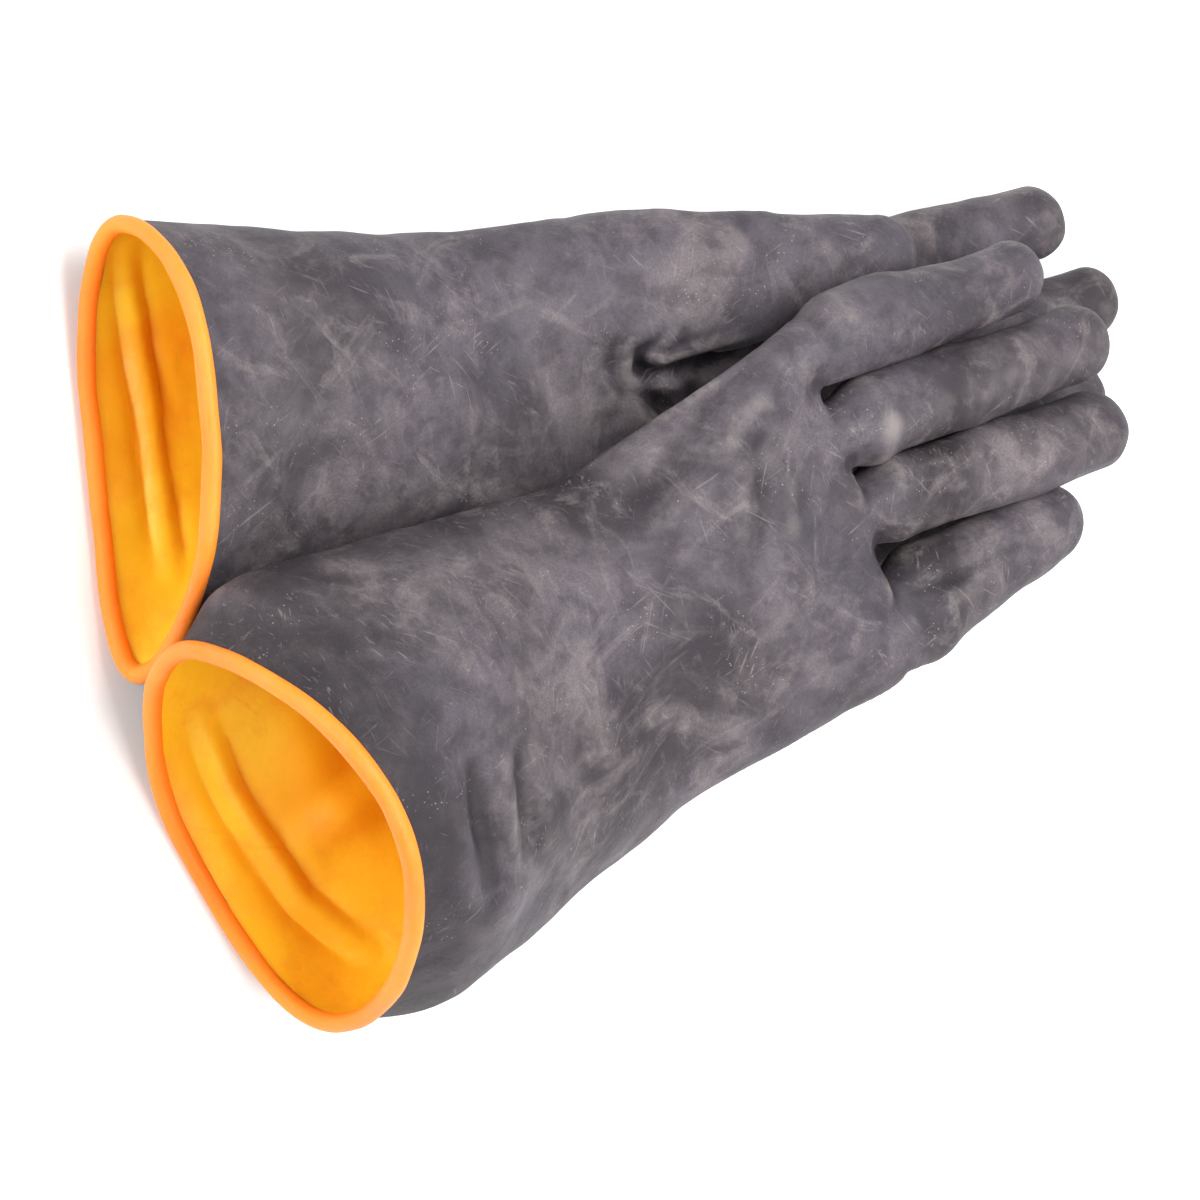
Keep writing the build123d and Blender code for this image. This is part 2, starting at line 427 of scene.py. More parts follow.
# ---------------------------------------------------------------- one glove's skin
class Skin:
    """The whole outer surface of one glove, with the region each face belongs to.
    aside moves a finger's root, in mm. flare widens its root towards +Y, or where it is negative
    towards -Y. webs widen it close to the cut, by one amount towards +Y and another towards -Y."""

    def __init__(self, side, stations, aside, flare, webs):
        self.side, self.flare, self.webs = side, flare, webs
        self.stalls = {n: Stall(f"{side}_{n}_outer", aside.get(n, (0, 0, 0))) for n in DIGITS}
        self.arm = Arm(side, stations)
        self.cuts = {}
        for name, stall in self.stalls.items():
            ahead = THUMB_CUT
            if name != "thumb":
                gap = self.arm.end + FINGER_CUT - stall.root @ self.arm.forward
                ahead = gap / (stall.along @ self.arm.forward)
            self.cuts[name] = stall.root + stall.along * ahead
        low, high = self._box()
        points, quads = meshed(self.field, low, high)
        cuts = [
            (self.arm.cuff, -self.arm.rim_normal, self._on_cuff),
            (self.cuts["index"], self.arm.forward, self._on_fingers),
        ]
        points, faces, loops = bisected(points, quads.tolist(), cuts)
        self.points, self.faces = points, faces
        centres = np.array([points[f].mean(0) for f in faces])
        thumb = (centres - self.cuts["thumb"]) @ self.stalls["thumb"].along > 0
        thumb &= self._thumb_field(centres) < self.arm.field(centres)
        thumb = largest_patch(faces, thumb)
        self.region = ["main" if m else "thumb" for m in largest_patch(faces, ~thumb)]
        middles = np.array([points[loop].mean(0) for loop in loops[:5]])
        self.rim = self._ordered(loops[0], self.arm.cuff, self.arm.levels[0], self.arm.uprights[0])
        for name in FINGERS:
            closest = np.argmin(np.linalg.norm(middles - self.cuts[name], axis=1))
            self._draw_out(name, loops[closest])
        self.rest = self.points.copy()
        self.normals = vertex_normals(self.points, self.faces)

    def _box(self):
        nodes = [f"{self.side}_{part}_outer" for part in ("gauntlet", "hand", "thumb")]
        corners = np.array([[list(c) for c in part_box(n)] for n in nodes])
        margin = 0.010
        return corners[:, 0].min(0) - margin, corners[:, 1].max(0) + margin

    def _on_cuff(self, points):
        return np.linalg.norm(points - self.arm.cuff, axis=1) < CUFF_REACH

    def _on_fingers(self, points):
        """Tests which points are close to a finger, or a little behind its root."""
        close = np.zeros(len(points), bool)
        for name in FINGERS:
            stall = self.stalls[name]
            reach = (points - self.cuts[name]) @ stall.along
            off = points - self.cuts[name] - reach[:, None] * stall.along
            near = FINGER_AROUND + abs(self.flare.get(name, 0))
            close |= (np.linalg.norm(off, axis=1) < near) & (reach > -FINGER_BEHIND)
        return close & (self._thumb_field(points) > THUMB_CLEAR)

    def _thumb_field(self, points):
        """Distance outside the thumb: one cone on the right glove, a chain of flat ones on the left."""
        stall = self.stalls["thumb"]
        tip = stall.root + stall.along * (stall.length - stall.tip_radius)
        if self.side == "right":
            start = stall.root - stall.along * THUMB_BURIED
            return cone_field(points, start, tip, stall.radius, stall.tip_radius)
        balls = [(np.array(spot) / 1000, radius, flat) for spot, radius, flat in LEFT_THUMB_MOUND]
        balls.append((tip + (0.001, 0.0003, 0), stall.tip_radius, 0.82))
        links = zip(balls, balls[1:])
        return np.min([cone_field(points, a, b, r, s, (f, g)) for (a, r, f), (b, s, g) in links], axis=0)

    def field(self, points):
        """The filled glove as far as the finger cuts: arm and thumb, blended with the fingers' roots."""
        fingers = np.full(len(points), 1.0)
        arm = self.arm
        back = np.searchsorted(arm.spots, arm.marks[-1] - CONE_BACK_MM)
        for name in FINGERS:
            stall = self.stalls[name]
            beside = (self.cuts[name] - arm.centres[-1]) @ arm.levels[-1]
            root = arm.centres[back] + arm.levels[back] * beside * CONE_FANNED
            end = self.cuts[name] + stall.along * CONE_AHEAD
            flare = self.flare.get(name, 0) / 2
            root, end = root + stall.side * flare * 0.5, end + stall.side * flare
            wide = stall.radius * CONE_WIDE + abs(flare) * 0.8
            flat = (1, stall.radius * CONE_WIDE / wide)
            cone = cone_field(points, root, end, stall.radius * CONE_NARROW, wide, flat)
            fingers = np.minimum(fingers, cone)
        start, stop = arm.end - PALM_BLEND_START, arm.end + PALM_BLEND_STOP
        width = mix(PALM_BLEND, CROTCH_BLEND, smooth_step(points @ arm.forward, start, stop))
        whole = smooth_union(arm.field(points), fingers, width)
        thumb = self.stalls["thumb"]
        reach = (points - thumb.root) @ thumb.along
        width = mix(BALL_BLEND, THUMB_BLEND, smooth_step(reach, -BALL_BLEND_START, 0.0))
        whole = smooth_union(whole, self._thumb_field(points), width)
        return -smooth_union(-whole, points[:, 2] - FLOOR_GAP, FLOOR_BLEND)

    def _ordered(self, loop, centre, level, upright):
        """The loop begun at its lowest angle, and turned to run from level towards upright."""
        offset = self.points[loop] - centre
        angle = np.arctan2(offset @ upright, offset @ level)
        first = np.argmin(angle)
        loop, angle = np.roll(loop, -first), np.unwrap(np.roll(angle, -first))
        return loop if angle[-1] > angle[0] else np.roll(loop[::-1], 1)

    def _draw_out(self, name, loop):
        """Grows a finger's tube from its loop of vertices on the hand, ring by ring to its round tip."""
        stall, start = self.stalls[name], self.cuts[name]
        loop = self._ordered(loop, start, stall.side, stall.up)
        offset = self.points[loop] - start
        angle = np.arctan2(offset @ stall.up, offset @ stall.side)
        first = np.hypot(offset @ stall.up, offset @ stall.side)
        slant = offset @ stall.along
        length = stall.length - (start - stall.root) @ stall.along
        dome = stall.tip_radius
        spacing = CELL * 1.05
        straight = np.arange(spacing, length - dome, spacing)
        curved = dome * np.sin(np.linspace(0, pi / 2, TIP_STEPS + 1)[1:-1])
        reach = np.concatenate([straight, length - dome + curved])
        rounded = np.concatenate([np.ones(len(straight)), np.sqrt(1 - (curved / dome) ** 2)])
        previous = loop
        for distance, share in zip(reach, rounded):
            taper = mix(stall.radius * 1.02, dome, min(distance / (length - dome), 1))
            way = distance / length
            swell = sum(tall * np.exp(-(((way - at) / spread) ** 2)) for at, spread, tall in SWELLS)
            profile = taper * (1 + swell + OVAL * np.cos(2 * angle))
            outer = np.clip(np.cos(angle) * np.sign(self.flare.get(name, 1)), 0, 1)
            profile = profile + outer * abs(self.flare.get(name, 0)) * (1 - way) ** FLARE_FADE
            for sign, web in zip((1, -1), self.webs.get(name, (0, 0))):
                facing = np.sqrt(np.clip(sign * np.cos(angle), 0, 1))
                profile = profile + facing * web * (1 - smooth_step(distance, WEB_START, WEB_STOP))
            radius = mix(first, profile, smooth_step(distance, 0, SHAPED)) * share
            ahead = distance + slant * (1 - smooth_step(distance, 0, LEVELLED))
            ring = start + np.outer(ahead, stall.along)
            ring = ring + np.outer(np.cos(angle) * radius, stall.side)
            ring = ring + np.outer(np.sin(angle) * radius, stall.up)
            grown = self._add(ring)
            self._join(name, previous, grown)
            previous = grown
        pole = self._add((start + stall.along * length)[None])[0]
        for k in range(len(previous)):
            self.faces.append([previous[k], previous[(k + 1) % len(previous)], pole])
            self.region.append(name)

    def _add(self, ring):
        self.points = np.vstack([self.points, ring])
        return np.arange(len(self.points) - len(ring), len(self.points))

    def _join(self, name, one, two):
        for k in range(len(one)):
            after = (k + 1) % len(one)
            self.faces.append([one[k], one[after], two[after], two[k]])
            self.region.append(name)

    def shape(self, relief):
        """Moves every vertex along its normal by a relief in metres, but not below the floor."""
        self.points = self.points + self.normals * relief[:, None]
        self.points[:, 2] = np.maximum(self.points[:, 2], 0)
        self.normals = vertex_normals(self.points, self.faces)


def placed(name, data):
    """A new object in the scene."""
    piece = bpy.data.objects.new(name, data)
    bpy.context.scene.collection.objects.link(piece)
    return piece


def made_piece(name, points, faces, tables, material):
    """A smooth-shaded mesh object with tables of values at its points."""
    mesh = bpy.data.meshes.new(name)
    mesh.from_pydata(points.tolist(), [], faces)
    mesh.polygons.foreach_set("use_smooth", [True] * len(faces))
    for label, table in tables.items():
        attribute = mesh.attributes.new(label, "FLOAT_VECTOR" if table.ndim > 1 else "FLOAT", "POINT")
        attribute.data.foreach_set("vector" if table.ndim > 1 else "value", table.ravel())
    mesh.update()
    mesh.materials.append(material)
    return placed(name, mesh)


def layer(skin, region, node, depth_out, depth_in, material):
    """One closed piece: the part of the skin in a region, between two depths below the surface."""
    faces = [f for f, r in zip(skin.faces, skin.region) if r == region]
    used = np.unique([v for f in faces for v in f])
    place = {v: k for k, v in enumerate(used)}
    count = len(used)
    normal = skin.normals[used]
    points = np.vstack([skin.points[used] - normal * depth_out, skin.points[used] - normal * depth_in])
    solid, edges = [], {}                      # edges is a dict to keep their order
    for face in faces:
        face = [place[v] for v in face]
        solid.append(face)
        solid.append([v + count for v in reversed(face)])
        for a, b in zip(face, face[1:] + face[:1]):
            edges[(a, b)] = True
    for a, b in edges:
        if (b, a) not in edges:
            solid.append([b, a, a + count, b + count])
    tables = {"rest": np.tile(skin.rest[used], (2, 1)), "tone": np.tile(skin.tone[used], 2)}
    piece = made_piece(node, points, solid, tables, material)
    piece.data.normals_split_custom_set_from_vertices(np.vstack([normal, -normal]).tolist())
    return piece


# ---------------------------------------------------------------- materials
def node_tree(name):
    material = bpy.data.materials.new(name)
    material.use_nodes = True
    nodes, links = material.node_tree.nodes, material.node_tree.links
    shader = next(n for n in nodes if n.type == "BSDF_PRINCIPLED")
    return material, nodes, links, shader


class Recipe:
    """Short names for the nodes that the rubber materials are made of."""

    def __init__(self, name):
        self.material, self.nodes, self.links, self.shader = node_tree(name)
        self.rest = self.nodes.new("ShaderNodeAttribute")
        self.rest.attribute_name = "rest"
        self.tone = self.nodes.new("ShaderNodeAttribute")
        self.tone.attribute_name = "tone"

    def place(self, stretch=(1, 1, 1), turn=(0, 0, 0)):
        """The resting place turned, and then stretched along its new axes."""
        vector = self.rest.outputs["Vector"]
        for socket, value in (("Rotation", [radians(a) for a in turn]), ("Scale", stretch)):
            node = self.nodes.new("ShaderNodeMapping")
            node.inputs[socket].default_value = value
            self.links.new(vector, node.inputs["Vector"])
            vector = node.outputs["Vector"]
        return vector

    def noise(self, scale, detail=4.0, rough=0.55, distortion=0.0, vector=None):
        node = self.nodes.new("ShaderNodeTexNoise")
        node.inputs["Scale"].default_value = scale
        node.inputs["Detail"].default_value = detail
        node.inputs["Roughness"].default_value = rough
        node.inputs["Distortion"].default_value = distortion
        self.links.new(vector or self.rest.outputs["Vector"], node.inputs["Vector"])
        return node.outputs["Fac"]

    def cells(self, scale):
        node = self.nodes.new("ShaderNodeTexVoronoi")
        node.inputs["Scale"].default_value = scale
        self.links.new(self.rest.outputs["Vector"], node.inputs["Vector"])
        return node.outputs["Distance"]

    def ramp(self, value, low, high, to_low=0.0, to_high=1.0):
        node = self.nodes.new("ShaderNodeMapRange")
        node.interpolation_type = "SMOOTHSTEP"
        ends = {"From Min": low, "From Max": high, "To Min": to_low, "To Max": to_high}
        for socket, number in ends.items():
            node.inputs[socket].default_value = number
        self.links.new(value, node.inputs["Value"])
        return node.outputs["Result"]

    def maths(self, operation, a, b):
        node = self.nodes.new("ShaderNodeMath")
        node.operation = operation
        for socket, value in zip(node.inputs, (a, b)):
            if isinstance(value, (int, float)):
                socket.default_value = value
            else:
                self.links.new(value, socket)
        return node.outputs["Value"]

    def times(self, a, b):
        return self.maths("MULTIPLY", a, b)

    def blend(self, share, a, b):
        node = self.nodes.new("ShaderNodeMix")
        node.data_type = "RGBA"
        for socket, value in ((node.inputs[0], share), (node.inputs[6], a), (node.inputs[7], b)):
            if isinstance(value, (int, float)):
                socket.default_value = value
            elif isinstance(value, tuple):
                socket.default_value = (*value, 1.0)
            else:
                self.links.new(value, socket)
        return node.outputs[2]

    def soften(self, weight, radius):
        """Lets light scatter under the surface, with a radius for red, green and blue."""
        self.shader.inputs["Subsurface Weight"].default_value = weight
        self.shader.inputs["Subsurface Radius"].default_value = radius
        self.shader.inputs["Subsurface Scale"].default_value = 0.5

    def finish(self, color, roughness, height, bump, distance):
        self.links.new(color, self.shader.inputs["Base Color"])
        self.links.new(roughness, self.shader.inputs["Roughness"])
        node = self.nodes.new("ShaderNodeBump")
        node.inputs["Strength"].default_value = bump
        node.inputs["Distance"].default_value = distance
        self.links.new(height, node.inputs["Height"])
        self.links.new(node.outputs["Normal"], self.shader.inputs["Normal"])
        return self.material


def black_rubber():
    """Charcoal rubber, clouded, dusted and rubbed, with fine scratches and pale specks, and painted shade in its
    hollows and close behind the bead.
    """
    r = Recipe("black_rubber")
    clouds = r.noise(16, 5, 0.60, 0.8)
    patches = r.noise(30, 6, 0.62, 1.0)
    mottle = r.noise(110, 5, 0.62)
    tint = r.noise(8, 2, 0.5)
    color = r.blend(r.ramp(clouds, 0.34, 0.66), (0.034, 0.028, 0.033), (0.128, 0.109, 0.118))
    color = r.blend(r.ramp(tint, 0.40, 0.60, 0.0, 0.6), color, (0.074, 0.065, 0.085))
    color = r.blend(r.ramp(patches, 0.48, 0.70, 0.0, 0.55), color, (0.205, 0.174, 0.176))
    color = r.blend(r.ramp(mottle, 0.42, 0.66, 0.0, 0.55), color, (0.034, 0.028, 0.035))
    for turn, scale, strength in ((31, 64, 0.36), (-47, 58, 0.28), (75, 80, 0.24)):
        smear = r.noise(scale, 8, 0.70, 0.8, r.place((0.40, 1.2, 1.0), (0, 0, turn)))
        color = r.blend(r.ramp(smear, 0.55, 0.72, 0.0, strength), color, (0.290, 0.248, 0.243))
    grain = r.ramp(r.noise(1300, 3, 0.7), 0.35, 0.65, 0.0, 0.30)
    color = r.blend(grain, color, (0.030, 0.024, 0.029))
    worn = r.ramp(r.tone.outputs["Fac"], 0.52, 0.95)
    worn = r.times(worn, r.ramp(r.noise(80, 6, 0.68), 0.36, 0.66))
    color = r.blend(r.times(worn, 0.60), color, (0.250, 0.220, 0.205))
    # painted shade: near black where the tone is low, in the skin's hollows and close behind the bead
    painted_shade = r.ramp(r.tone.outputs["Fac"], 0.05, 0.50, 1.0, 0.0)
    color = r.blend(r.times(painted_shade, 0.72), color, (0.018, 0.015, 0.018))
    scratches = 0.0
    for turn, scale in ((18, 1200), (-35, 1050), (68, 1350), (-80, 980), (42, 1150)):
        streak = r.noise(scale, 1, 0.4, 0.4, r.place((0.022, 1.0, 0.3), (0, 0, turn)))
        some = r.ramp(r.noise(scale * 0.045, 3, 0.6), 0.50, 0.66)
        scratches = r.maths("MAXIMUM", scratches, r.times(r.ramp(streak, 0.66, 0.76), some))
    color = r.blend(r.times(scratches, 0.30), color, (0.28, 0.245, 0.233))
    specks = r.ramp(r.cells(520), 0.07, 0.16, 1.0, 0.0)
    specks = r.times(specks, r.ramp(r.noise(45, 3, 0.6), 0.52, 0.62))
    color = r.blend(r.times(specks, 0.50), color, (0.40, 0.36, 0.33))
    roughness = r.ramp(patches, 0.3, 0.75, 0.50, 0.68)
    height = r.maths("ADD", r.noise(360, 6, 0.65), r.times(r.noise(2400, 2, 0.5), 0.3))
    height = r.maths("SUBTRACT", height, r.times(scratches, 0.25))
    r.shader.inputs["Specular IOR Level"].default_value = 0.17
    return r.finish(color, roughness, height, 0.40, 0.0011)


def orange_rubber():
    """Smooth orange rubber, with painted shade making it warmer and browner in the folds, and faint clouds."""
    r = Recipe("orange_rubber")
    clouds = r.noise(16, 3, 0.5, 0.5)
    fine = r.noise(80, 5, 0.6)
    color = r.blend(r.ramp(clouds, 0.3, 0.7), (0.96, 0.440, 0.013), (1.0, 0.610, 0.024))
    color = r.blend(r.ramp(fine, 0.45, 0.75, 0.0, 0.35), color, (0.90, 0.27, 0.012))
    for turn, scale, strength in ((24, 38, 0.45), (70, 30, 0.30)):
        smear = r.noise(scale, 6, 0.65, 1.2, r.place((0.28, 1.5, 1.0), (0, 0, turn)))
        color = r.blend(r.ramp(smear, 0.60, 0.76, 0.0, strength), color, (0.62, 0.150, 0.015))
    # painted shade: warmer and browner where the lining folds in
    painted_shade = r.ramp(r.tone.outputs["Fac"], 0.55, 1.0)
    color = r.blend(r.times(painted_shade, 0.45), color, (0.72, 0.17, 0.012))
    r.soften(0.25, (0.006, 0.0025, 0.0006))
    r.shader.inputs["Specular IOR Level"].default_value = 0.45
    return r.finish(color, r.ramp(fine, 0.3, 0.7, 0.38, 0.52), r.noise(300, 4, 0.55), 0.25, 0.0008)


def bead_rubber():
    """The rolled orange edge, with a painted highlight and rubbed wear making it pale and slightly pink along its
    crown.
    """
    r = Recipe("bead_rubber")
    fine = r.noise(130, 5, 0.6)
    color = r.blend(r.ramp(r.noise(20, 3, 0.5), 0.3, 0.7), (0.90, 0.205, 0.010), (0.93, 0.265, 0.016))
    # painted highlight and rubbed wear: pale and slightly pink along the crown
    worn = r.times(r.tone.outputs["Fac"], r.ramp(fine, 0.35, 0.7, 0.2, 1.0))
    color = r.blend(r.times(worn, 0.22), color, (0.85, 0.31, 0.14))
    grime = r.ramp(r.noise(180, 4, 0.6), 0.60, 0.75, 0.0, 0.35)
    color = r.blend(grime, color, (0.50, 0.19, 0.09))
    r.soften(0.2, (0.006, 0.0025, 0.0008))
    r.shader.inputs["Specular IOR Level"].default_value = 0.32
    return r.finish(color, r.ramp(fine, 0.3, 0.7, 0.48, 0.64), r.noise(420, 4, 0.6), 0.3, 0.0008)


# ---------------------------------------------------------------- relief of each glove
def tone_of(skin):
    """0 in hollows, 1 on ridges, about 0.5 on plain stretches: the skin's evened-out curvature."""
    edges = {tuple(sorted((a, b))) for f in skin.faces for a, b in zip(f, f[1:] + f[:1])}
    edges = np.array(sorted(edges))
    degree = np.bincount(edges.ravel(), minlength=len(skin.points))

    def evened(values, rounds):
        for _ in range(rounds):
            near = np.bincount(edges[:, 0], values[edges[:, 1]], len(values))
            near += np.bincount(edges[:, 1], values[edges[:, 0]], len(values))
            values = mix(values, near / np.maximum(degree, 1), 0.6)
        return values

    near = np.stack([
        np.bincount(edges[:, 0], skin.points[edges[:, 1], k], len(skin.points))
        + np.bincount(edges[:, 1], skin.points[edges[:, 0], k], len(skin.points))
        for k in range(3)
    ], -1) / np.maximum(degree, 1)[:, None]
    bulge = ((skin.points - near) * skin.normals).sum(1) / CELL**2 / 2
    fine, broad, full_bulge = 5, 65, 34
    bulge = evened(bulge, fine) - evened(bulge, broad)
    return np.clip(0.5 + bulge / full_bulge, 0, 1)


def creased(points, path, width, depth, shoulder=0.45):
    """A crease along a path, deepest in its middle, with a soft shoulder on each side."""
    away, share = path_distance(points, np.array(path))
    x = away / width
    fade = np.clip(np.sin(pi * np.clip(share, 0.02, 0.98)), 0, 1) ** 0.6
    return depth * fade * (shoulder * np.exp(-((x - 2.0) ** 2)) - np.exp(-(x**2)))


def folded(skin, path, width, depth, shoulder=0.4, face=1):
    """A crease along (x, y) in mm, pressed into a skin's upper side, or with face -1 its under side."""
    flat = skin.rest * (1, 1, 0)
    path = np.array([(x / 1000, y / 1000, 0) for x, y in path])
    facing = smooth_step(face * skin.normals[:, 2], 0.0, 0.3)
    return creased(flat, path, width, depth, shoulder) * facing


def dented(skin, spot, across, depth):
    """A round soft dent, or a swelling where depth is negative, centred on (x, y, z) in mm."""
    away = np.linalg.norm(skin.rest - np.array(spot) / 1000, axis=1)
    return -depth * np.exp(-((away / across) ** 2))


def soft_relief(skin, seed):
    """Broad dents and finer ripples of rubber that has been folded and handled."""
    p = skin.rest
    relief = 0.0010 * waves(p, seed, 0.050, 0.11)
    relief += 0.00035 * waves(p, seed + 1, 0.020, 0.045)
    relief += 0.00010 * waves(p, seed + 2, 0.008, 0.016)
    return relief


def crotches(skin, depth):
    """Small hollows between the finger roots, on both sides of the hand."""
    relief = 0
    for one, two in zip(FINGERS, FINGERS[1:]):
        spot = (skin.cuts[one] + skin.cuts[two]) / 2 - skin.arm.forward * 0.004
        for lift in (0.012, -0.012):
            relief = relief + dented(skin, (spot + (0, 0, lift)) * 1000, 0.008, depth)
    return relief


def shaded_cuff(skin, strength, reach):
    """How much painted shade darkens the rubber close behind the bead."""
    away = (skin.rest - skin.arm.cuff) @ skin.arm.rim_normal
    return strength * (1 - smooth_step(away + 0.008 * waves(skin.rest, 71, 0.02, 0.06), 0, reach))


def right_relief(skin):
    relief = soft_relief(skin, 11) + crotches(skin, 0.003)
    behind = (skin.rest - skin.arm.cuff) @ skin.arm.rim_normal
    # swellings behind the cuff and at the little finger's root
    relief += dented(skin, (-165, -5, 60), 0.026, -0.0035) * smooth_step(behind, 0.002, 0.018)
    relief += dented(skin, (88, -19, 54), 0.016, -0.0004)
    relief += dented(skin, (69, -26, 55), 0.014, -0.0022)
    # the back of the hand
    relief += folded(skin, [(-42, 20), (-30, 36), (-18, 51), (-6, 62), (6, 71)], 0.0060, 0.0036)
    relief += folded(skin, [(5, 52), (7, 40), (9, 24), (5, 8)], 0.0050, 0.0018)
    relief += folded(skin, [(-34, 6), (-10, 10), (16, 8), (42, 5)], 0.0080, 0.0014)
    # the gauntlet, above and then below, seen inside the cuff
    relief += folded(skin, [(-106, -44), (-101, -66), (-92, -90)], 0.0062, 0.0044)
    relief += folded(skin, [(-88, -42), (-83, -62), (-78, -84)], 0.0050, 0.0030)
    relief += folded(skin, [(-60, -30), (-40, -12), (-28, 8)], 0.0090, 0.0010)
    relief += folded(skin, [(-152, -38), (-134, -66), (-112, -96), (-92, -112)], 0.0030, 0.0030, 0.8, -1)
    relief += folded(skin, [(-128, -30), (-108, -58), (-84, -84)], 0.0080, 0.0030, 0.3, -1)
    relief += folded(skin, [(-118, -84), (-96, -66), (-74, -52)], 0.0060, 0.0020, 0.3, -1)
    return relief


def left_relief(skin):
    relief = soft_relief(skin, 41) + crotches(skin, 0.003)
    # the ball of the thumb
    around_the_thumb = [(-5, 81), (-10, 77), (-8.5, 72.5), (-1, 70.5), (10, 72.5), (32, 79)]
    relief += folded(skin, around_the_thumb, 0.0026, 0.0034, 0.8)
    relief += folded(skin, [(-10, 69), (-3, 65), (4, 60), (14, 56)], 0.0034, 0.0034, 0.6)
    relief += dented(skin, (18, 65, 28), 0.013, 0.0045)
    relief += folded(skin, [(-20, 82), (-18, 74), (-10, 66)], 0.0060, 0.0014)
    # the gauntlet, above and then below, seen inside the cuff
    relief += folded(skin, [(-150, 20), (-120, 36), (-90, 44), (-60, 46)], 0.0110, 0.0012)
    relief += folded(skin, [(-160, 60), (-130, 72), (-100, 78)], 0.0100, 0.0012)
    inside_the_cuff = [(-177, 104), (-170, 84), (-164, 58), (-160, 30), (-157, 6)]
    relief += folded(skin, inside_the_cuff, 0.0026, 0.0024, 0.8, -1)
    return relief


def bead_piece(skin, name, material):
    """The rolled bead round the cuff, following the sleeve's rim."""
    arm = skin.arm
    rim = skin.points[skin.rim] - skin.normals[skin.rim] * (OUTER_LAYER + LINING) / 2
    middle = rim.mean(0)
    offset = rim - middle
    angle = np.unwrap(np.arctan2(offset @ arm.uprights[0], offset @ arm.levels[0]))
    reach = np.hypot(offset @ arm.uprights[0], offset @ arm.levels[0])
    turns = np.linspace(0, 2 * pi, BEAD_RINGS, endpoint=False)
    reach = np.interp(turns, angle % (2 * pi), reach, period=2 * pi)
    for _ in range(4):
        reach = (np.roll(reach, 1) + 2 * reach + np.roll(reach, -1)) / 4
    way = np.outer(np.cos(turns), arm.levels[0]) + np.outer(np.sin(turns), arm.uprights[0])
    path = middle + way * reach[:, None] - arm.rim_normal * BEAD_RADIUS * 0.55
    tangent = unit(np.roll(path, -1, 0) - np.roll(path, 1, 0))
    outward = unit(np.cross(tangent, arm.rim_normal))
    thick = BEAD_RADIUS * (1 + 0.05 * waves(path, 5, 0.02, 0.06))
    around = np.arange(BEAD_SECTION) * 2 * pi / BEAD_SECTION
    wide, deep = np.cos(around)[None, :, None], np.sin(around)[None, :, None]
    points = wide * outward[:, None] - deep * arm.rim_normal
    points = (path[:, None] + thick[:, None, None] * points).reshape(-1, 3)
    points[:, 2] = np.maximum(points[:, 2], 0.0)
    faces = []
    for k in range(BEAD_RINGS):
        for j in range(BEAD_SECTION):
            a, b = k * BEAD_SECTION + j, k * BEAD_SECTION + (j + 1) % BEAD_SECTION
            c, d = (b + BEAD_SECTION) % len(points), (a + BEAD_SECTION) % len(points)
            faces.append([a, b, c, d])
    # the crown, which carries the bead's painted highlight and rubbed wear
    crown = np.clip(np.sin(around) * 0.8 + np.cos(around) * 0.6, 0, 1)
    tables = {"rest": points, "tone": np.tile(crown, BEAD_RINGS)}
    return made_piece(name, points, faces, tables, material)


# ---------------------------------------------------------------- the camera and the studio
def look_from(place, target, right, lens):
    """A camera at a place, looking at a target, with its picture's right side towards a direction."""
    camera = placed("camera", bpy.data.cameras.new("camera"))
    bpy.context.scene.camera = camera
    camera.data.lens = lens
    camera.data.clip_end = 20
    back = unit(np.array(place) - target)
    upward = np.cross(back, right)
    rows = [[right[k], upward[k], back[k], place[k]] for k in range(3)]
    camera.matrix_world = Matrix(rows + [[0, 0, 0, 1]])


def lamp(name, place, target, size, power):
    """A soft square lamp."""
    light = bpy.data.lights.new(name, "AREA")
    light.shape, light.size, light.energy = "SQUARE", size, power
    piece = placed(name, light)
    piece.location = place
    piece.rotation_euler = (Vector(target) - Vector(place)).to_track_quat("-Z", "Y").to_euler()


def studio():
    """A plain white floor, and soft light from above and from the cuffs' side."""
    scene = bpy.context.scene
    scene.view_settings.view_transform = "Standard"
    scene.world = scene.world or bpy.data.worlds.new("world")
    scene.world.use_nodes = True
    shade = next(n for n in scene.world.node_tree.nodes if n.type == "BACKGROUND")
    shade.inputs["Color"].default_value = (1, 1, 1, 1)
    shade.inputs["Strength"].default_value = 0.42
    floor = bpy.data.meshes.new("floor")
    half, low = 4, -0.0004                     # just under the gloves
    corners = [(-half, -half, low), (half, -half, low), (half, half, low), (-half, half, low)]
    floor.from_pydata(corners, [], [[0, 1, 2, 3]])
    material, _, _, shader = node_tree("floor_white")
    shader.inputs["Base Color"].default_value = (0.9, 0.9, 0.9, 1)
    shader.inputs["Roughness"].default_value = 0.9
    shader.inputs["Specular IOR Level"].default_value = 0.0
    floor.materials.append(material)
    placed("floor", floor)
    lamp("key", (0.45, 0.50, 1.55), (0, 0, 0.03), 1.1, 33)
    lamp("top", (0.45, -0.75, 1.60), (0, 0, 0.03), 1.2, 29)
    lamp("cuff_side", (-1.6, 0.15, 0.75), (-0.15, 0, 0.04), 1.0, 22)


STEEP = radians(60)                        # how far above level the camera stands, on the cuffs' side
BACKWARD = np.array([-np.cos(STEEP), 0, np.sin(STEEP)])
RIGHTWARD = np.array([np.sin(STEEP), 0, np.cos(STEEP)])       # the fingers point right in the photo
AIM = (0.1702, 0.1352)                     # from the CAD box's lowest corner
AIM_HEIGHT, CAMERA_DISTANCE, LENS_MM = 0.030, 1.5, 141.75
target = np.array([cad_box[0][0] + AIM[0], cad_box[0][1] + AIM[1], AIM_HEIGHT])
look_from(target + BACKWARD * CAMERA_DISTANCE, target, RIGHTWARD, LENS_MM)
studio()

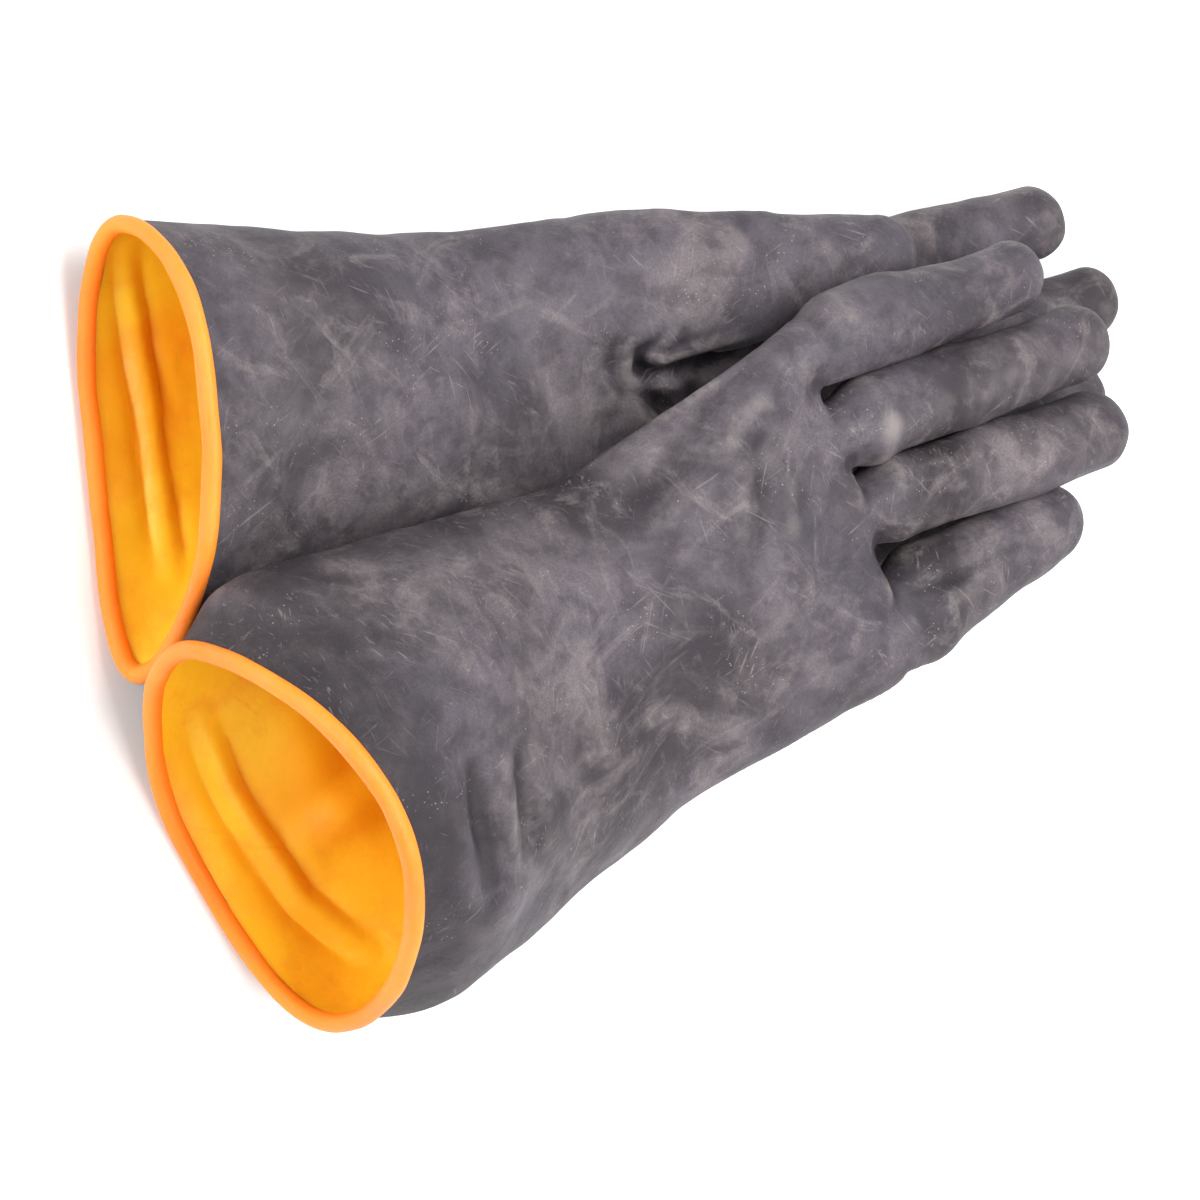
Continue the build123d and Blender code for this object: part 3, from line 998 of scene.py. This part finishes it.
# ---------------------------------------------------------------- the gloves
black, orange, edge = black_rubber(), orange_rubber(), bead_rubber()
KINDS = (
    ("outer", "black_outer_rubber", black, 0.0, OUTER_LAYER),
    ("lining", "orange_lining_rubber", orange, OUTER_LAYER, OUTER_LAYER + LINING),
)
PIVOTS = {j["name"]: np.array(j["pos_m"]) for j in frame["joints"] if j["type"] == "hinge"}


def dressed(skin, carriers):
    """All of one glove's pieces; each with a single carrier body is attached to it, and those given a pair of
    bodies and a span are left where they are.
    """
    for region in ("main",) + DIGITS:
        for kind, slot, material, top, under in KINDS:
            piece = layer(skin, region, f"{skin.side}_{region}_{kind}_skin", top, under, material)
            parts = ("gauntlet", "hand") if region == "main" else (region,)
            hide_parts(*(f"{skin.side}_{part}_{kind}" for part in parts))
            carrier = carriers[region]
            if isinstance(carrier, str):
                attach(piece, carrier)
            else:
                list(carrier)
                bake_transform(piece)
    bead = bead_piece(skin, f"{skin.side}_bead", edge)
    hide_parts(f"{skin.side}_cuff_bead")
    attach(bead, carriers["bead"])


# x, y and z, yaw, width, height, belly, roll, lean and skew of each section: see Arm
RIGHT_STATIONS = (
    (-143.1, -72.8, 43, 31, 138, 107, 0.38, 17, 9, 0.26),
    (-126.4, -64.9, 45, 31, 151, 106, 0.40, 16, 7, 0.18),
    (-90.1, -46.9, 47, 31, 145, 86, 0.42, 16, 4, 0.10),
    (-27.2, -18.8, 43, 30, 121, 60, 0.45, 13, 0, 0.05),
    (16.4, 9.1, 65.5, 29, 119, 35, 0.50, 10, 0, 0.0),
    (47.6, 24.8, 65, 27, 117, 25.5, 0.50, 9, 0, 0.0),
)
LEFT_STATIONS = (
    (-176.3, 43.1, 20, 6, 140, 62, 0.36, 6, 12, 0.18),
    (-119.6, 60.6, 20, 4, 104, 56, 0.42, 0, 4, 0.08),
    (-54.6, 63.1, 18, 4, 100, 40, 0.50, 0, 0, 0.0),
    (5.4, 65.1, 14, 6, 116, 32, 0.50, 0, 0, 0.0),
    (58.4, 62.1, 13, 10, 114, 27, 0.50, 0, 0, 0.0),
)

# the ball of the left thumb: places in mm, radii in metres, heights as shares of the width
LEFT_THUMB_MOUND = (
    ((-45, 92, 24), 0.0200, 0.62),
    ((6, 98.4, 30), 0.0256, 0.62),
    ((35, 102, 40), 0.0213, 0.59),
)
BEND_REACH = 0.030          # from a finger's root to the far end of its carrier span; no bend is made from it
SWING_REACH = 0.028         # the same from the left thumb's cut
WRIST_REACH = 0.022         # the wrist's span, on each side of its hinge; no bend is made from it either

RIGHT_ASIDE = {"index": (0, 3.5, 0), "middle": (0, 5, 0), "ring": (0, 6.5, 0), "little": (0, 5.5, 0)}
RIGHT_WEBS = {"middle": (0, 0.0024), "ring": (0.0024, 0.0012), "little": (0.0012, 0)}
right = Skin("right", RIGHT_STATIONS, RIGHT_ASIDE, {"little": -0.0148}, RIGHT_WEBS)
right.shape(right_relief(right))
# the tone: the skin's curvature, lowered by painted shade close behind the bead
right.tone = tone_of(right) - shaded_cuff(right, 0.45, 0.060)
wrist = PIVOTS["right_wrist_bend"]
way = unit(right.stalls["middle"].root - wrist)
bends = {}
for name in FINGERS:
    stall = right.stalls[name]
    bent = stall.root + stall.along * BEND_REACH
    bends[name] = ("right_hand", f"right_{name}", right.cuts[name], bent)
across = ("right_gauntlet", "right_hand", wrist - way * WRIST_REACH, wrist + way * WRIST_REACH)
dressed(right, {"main": across, "thumb": "right_hand", "bead": "right_gauntlet", **bends})

left = Skin("left", LEFT_STATIONS, {"index": (0, 1.5, 0)}, {}, {})
left.shape(left_relief(left))
# the tone: the skin's curvature, lowered by painted shade close behind the bead
left.tone = tone_of(left) - shaded_cuff(left, 0.20, 0.030)
root = left.cuts["thumb"]
swing = ("left_glove", "left_thumb", root, root + left.stalls["thumb"].along * SWING_REACH)
dressed(left, {**dict.fromkeys(("main", "bead") + FINGERS, "left_glove"), "thumb": swing})
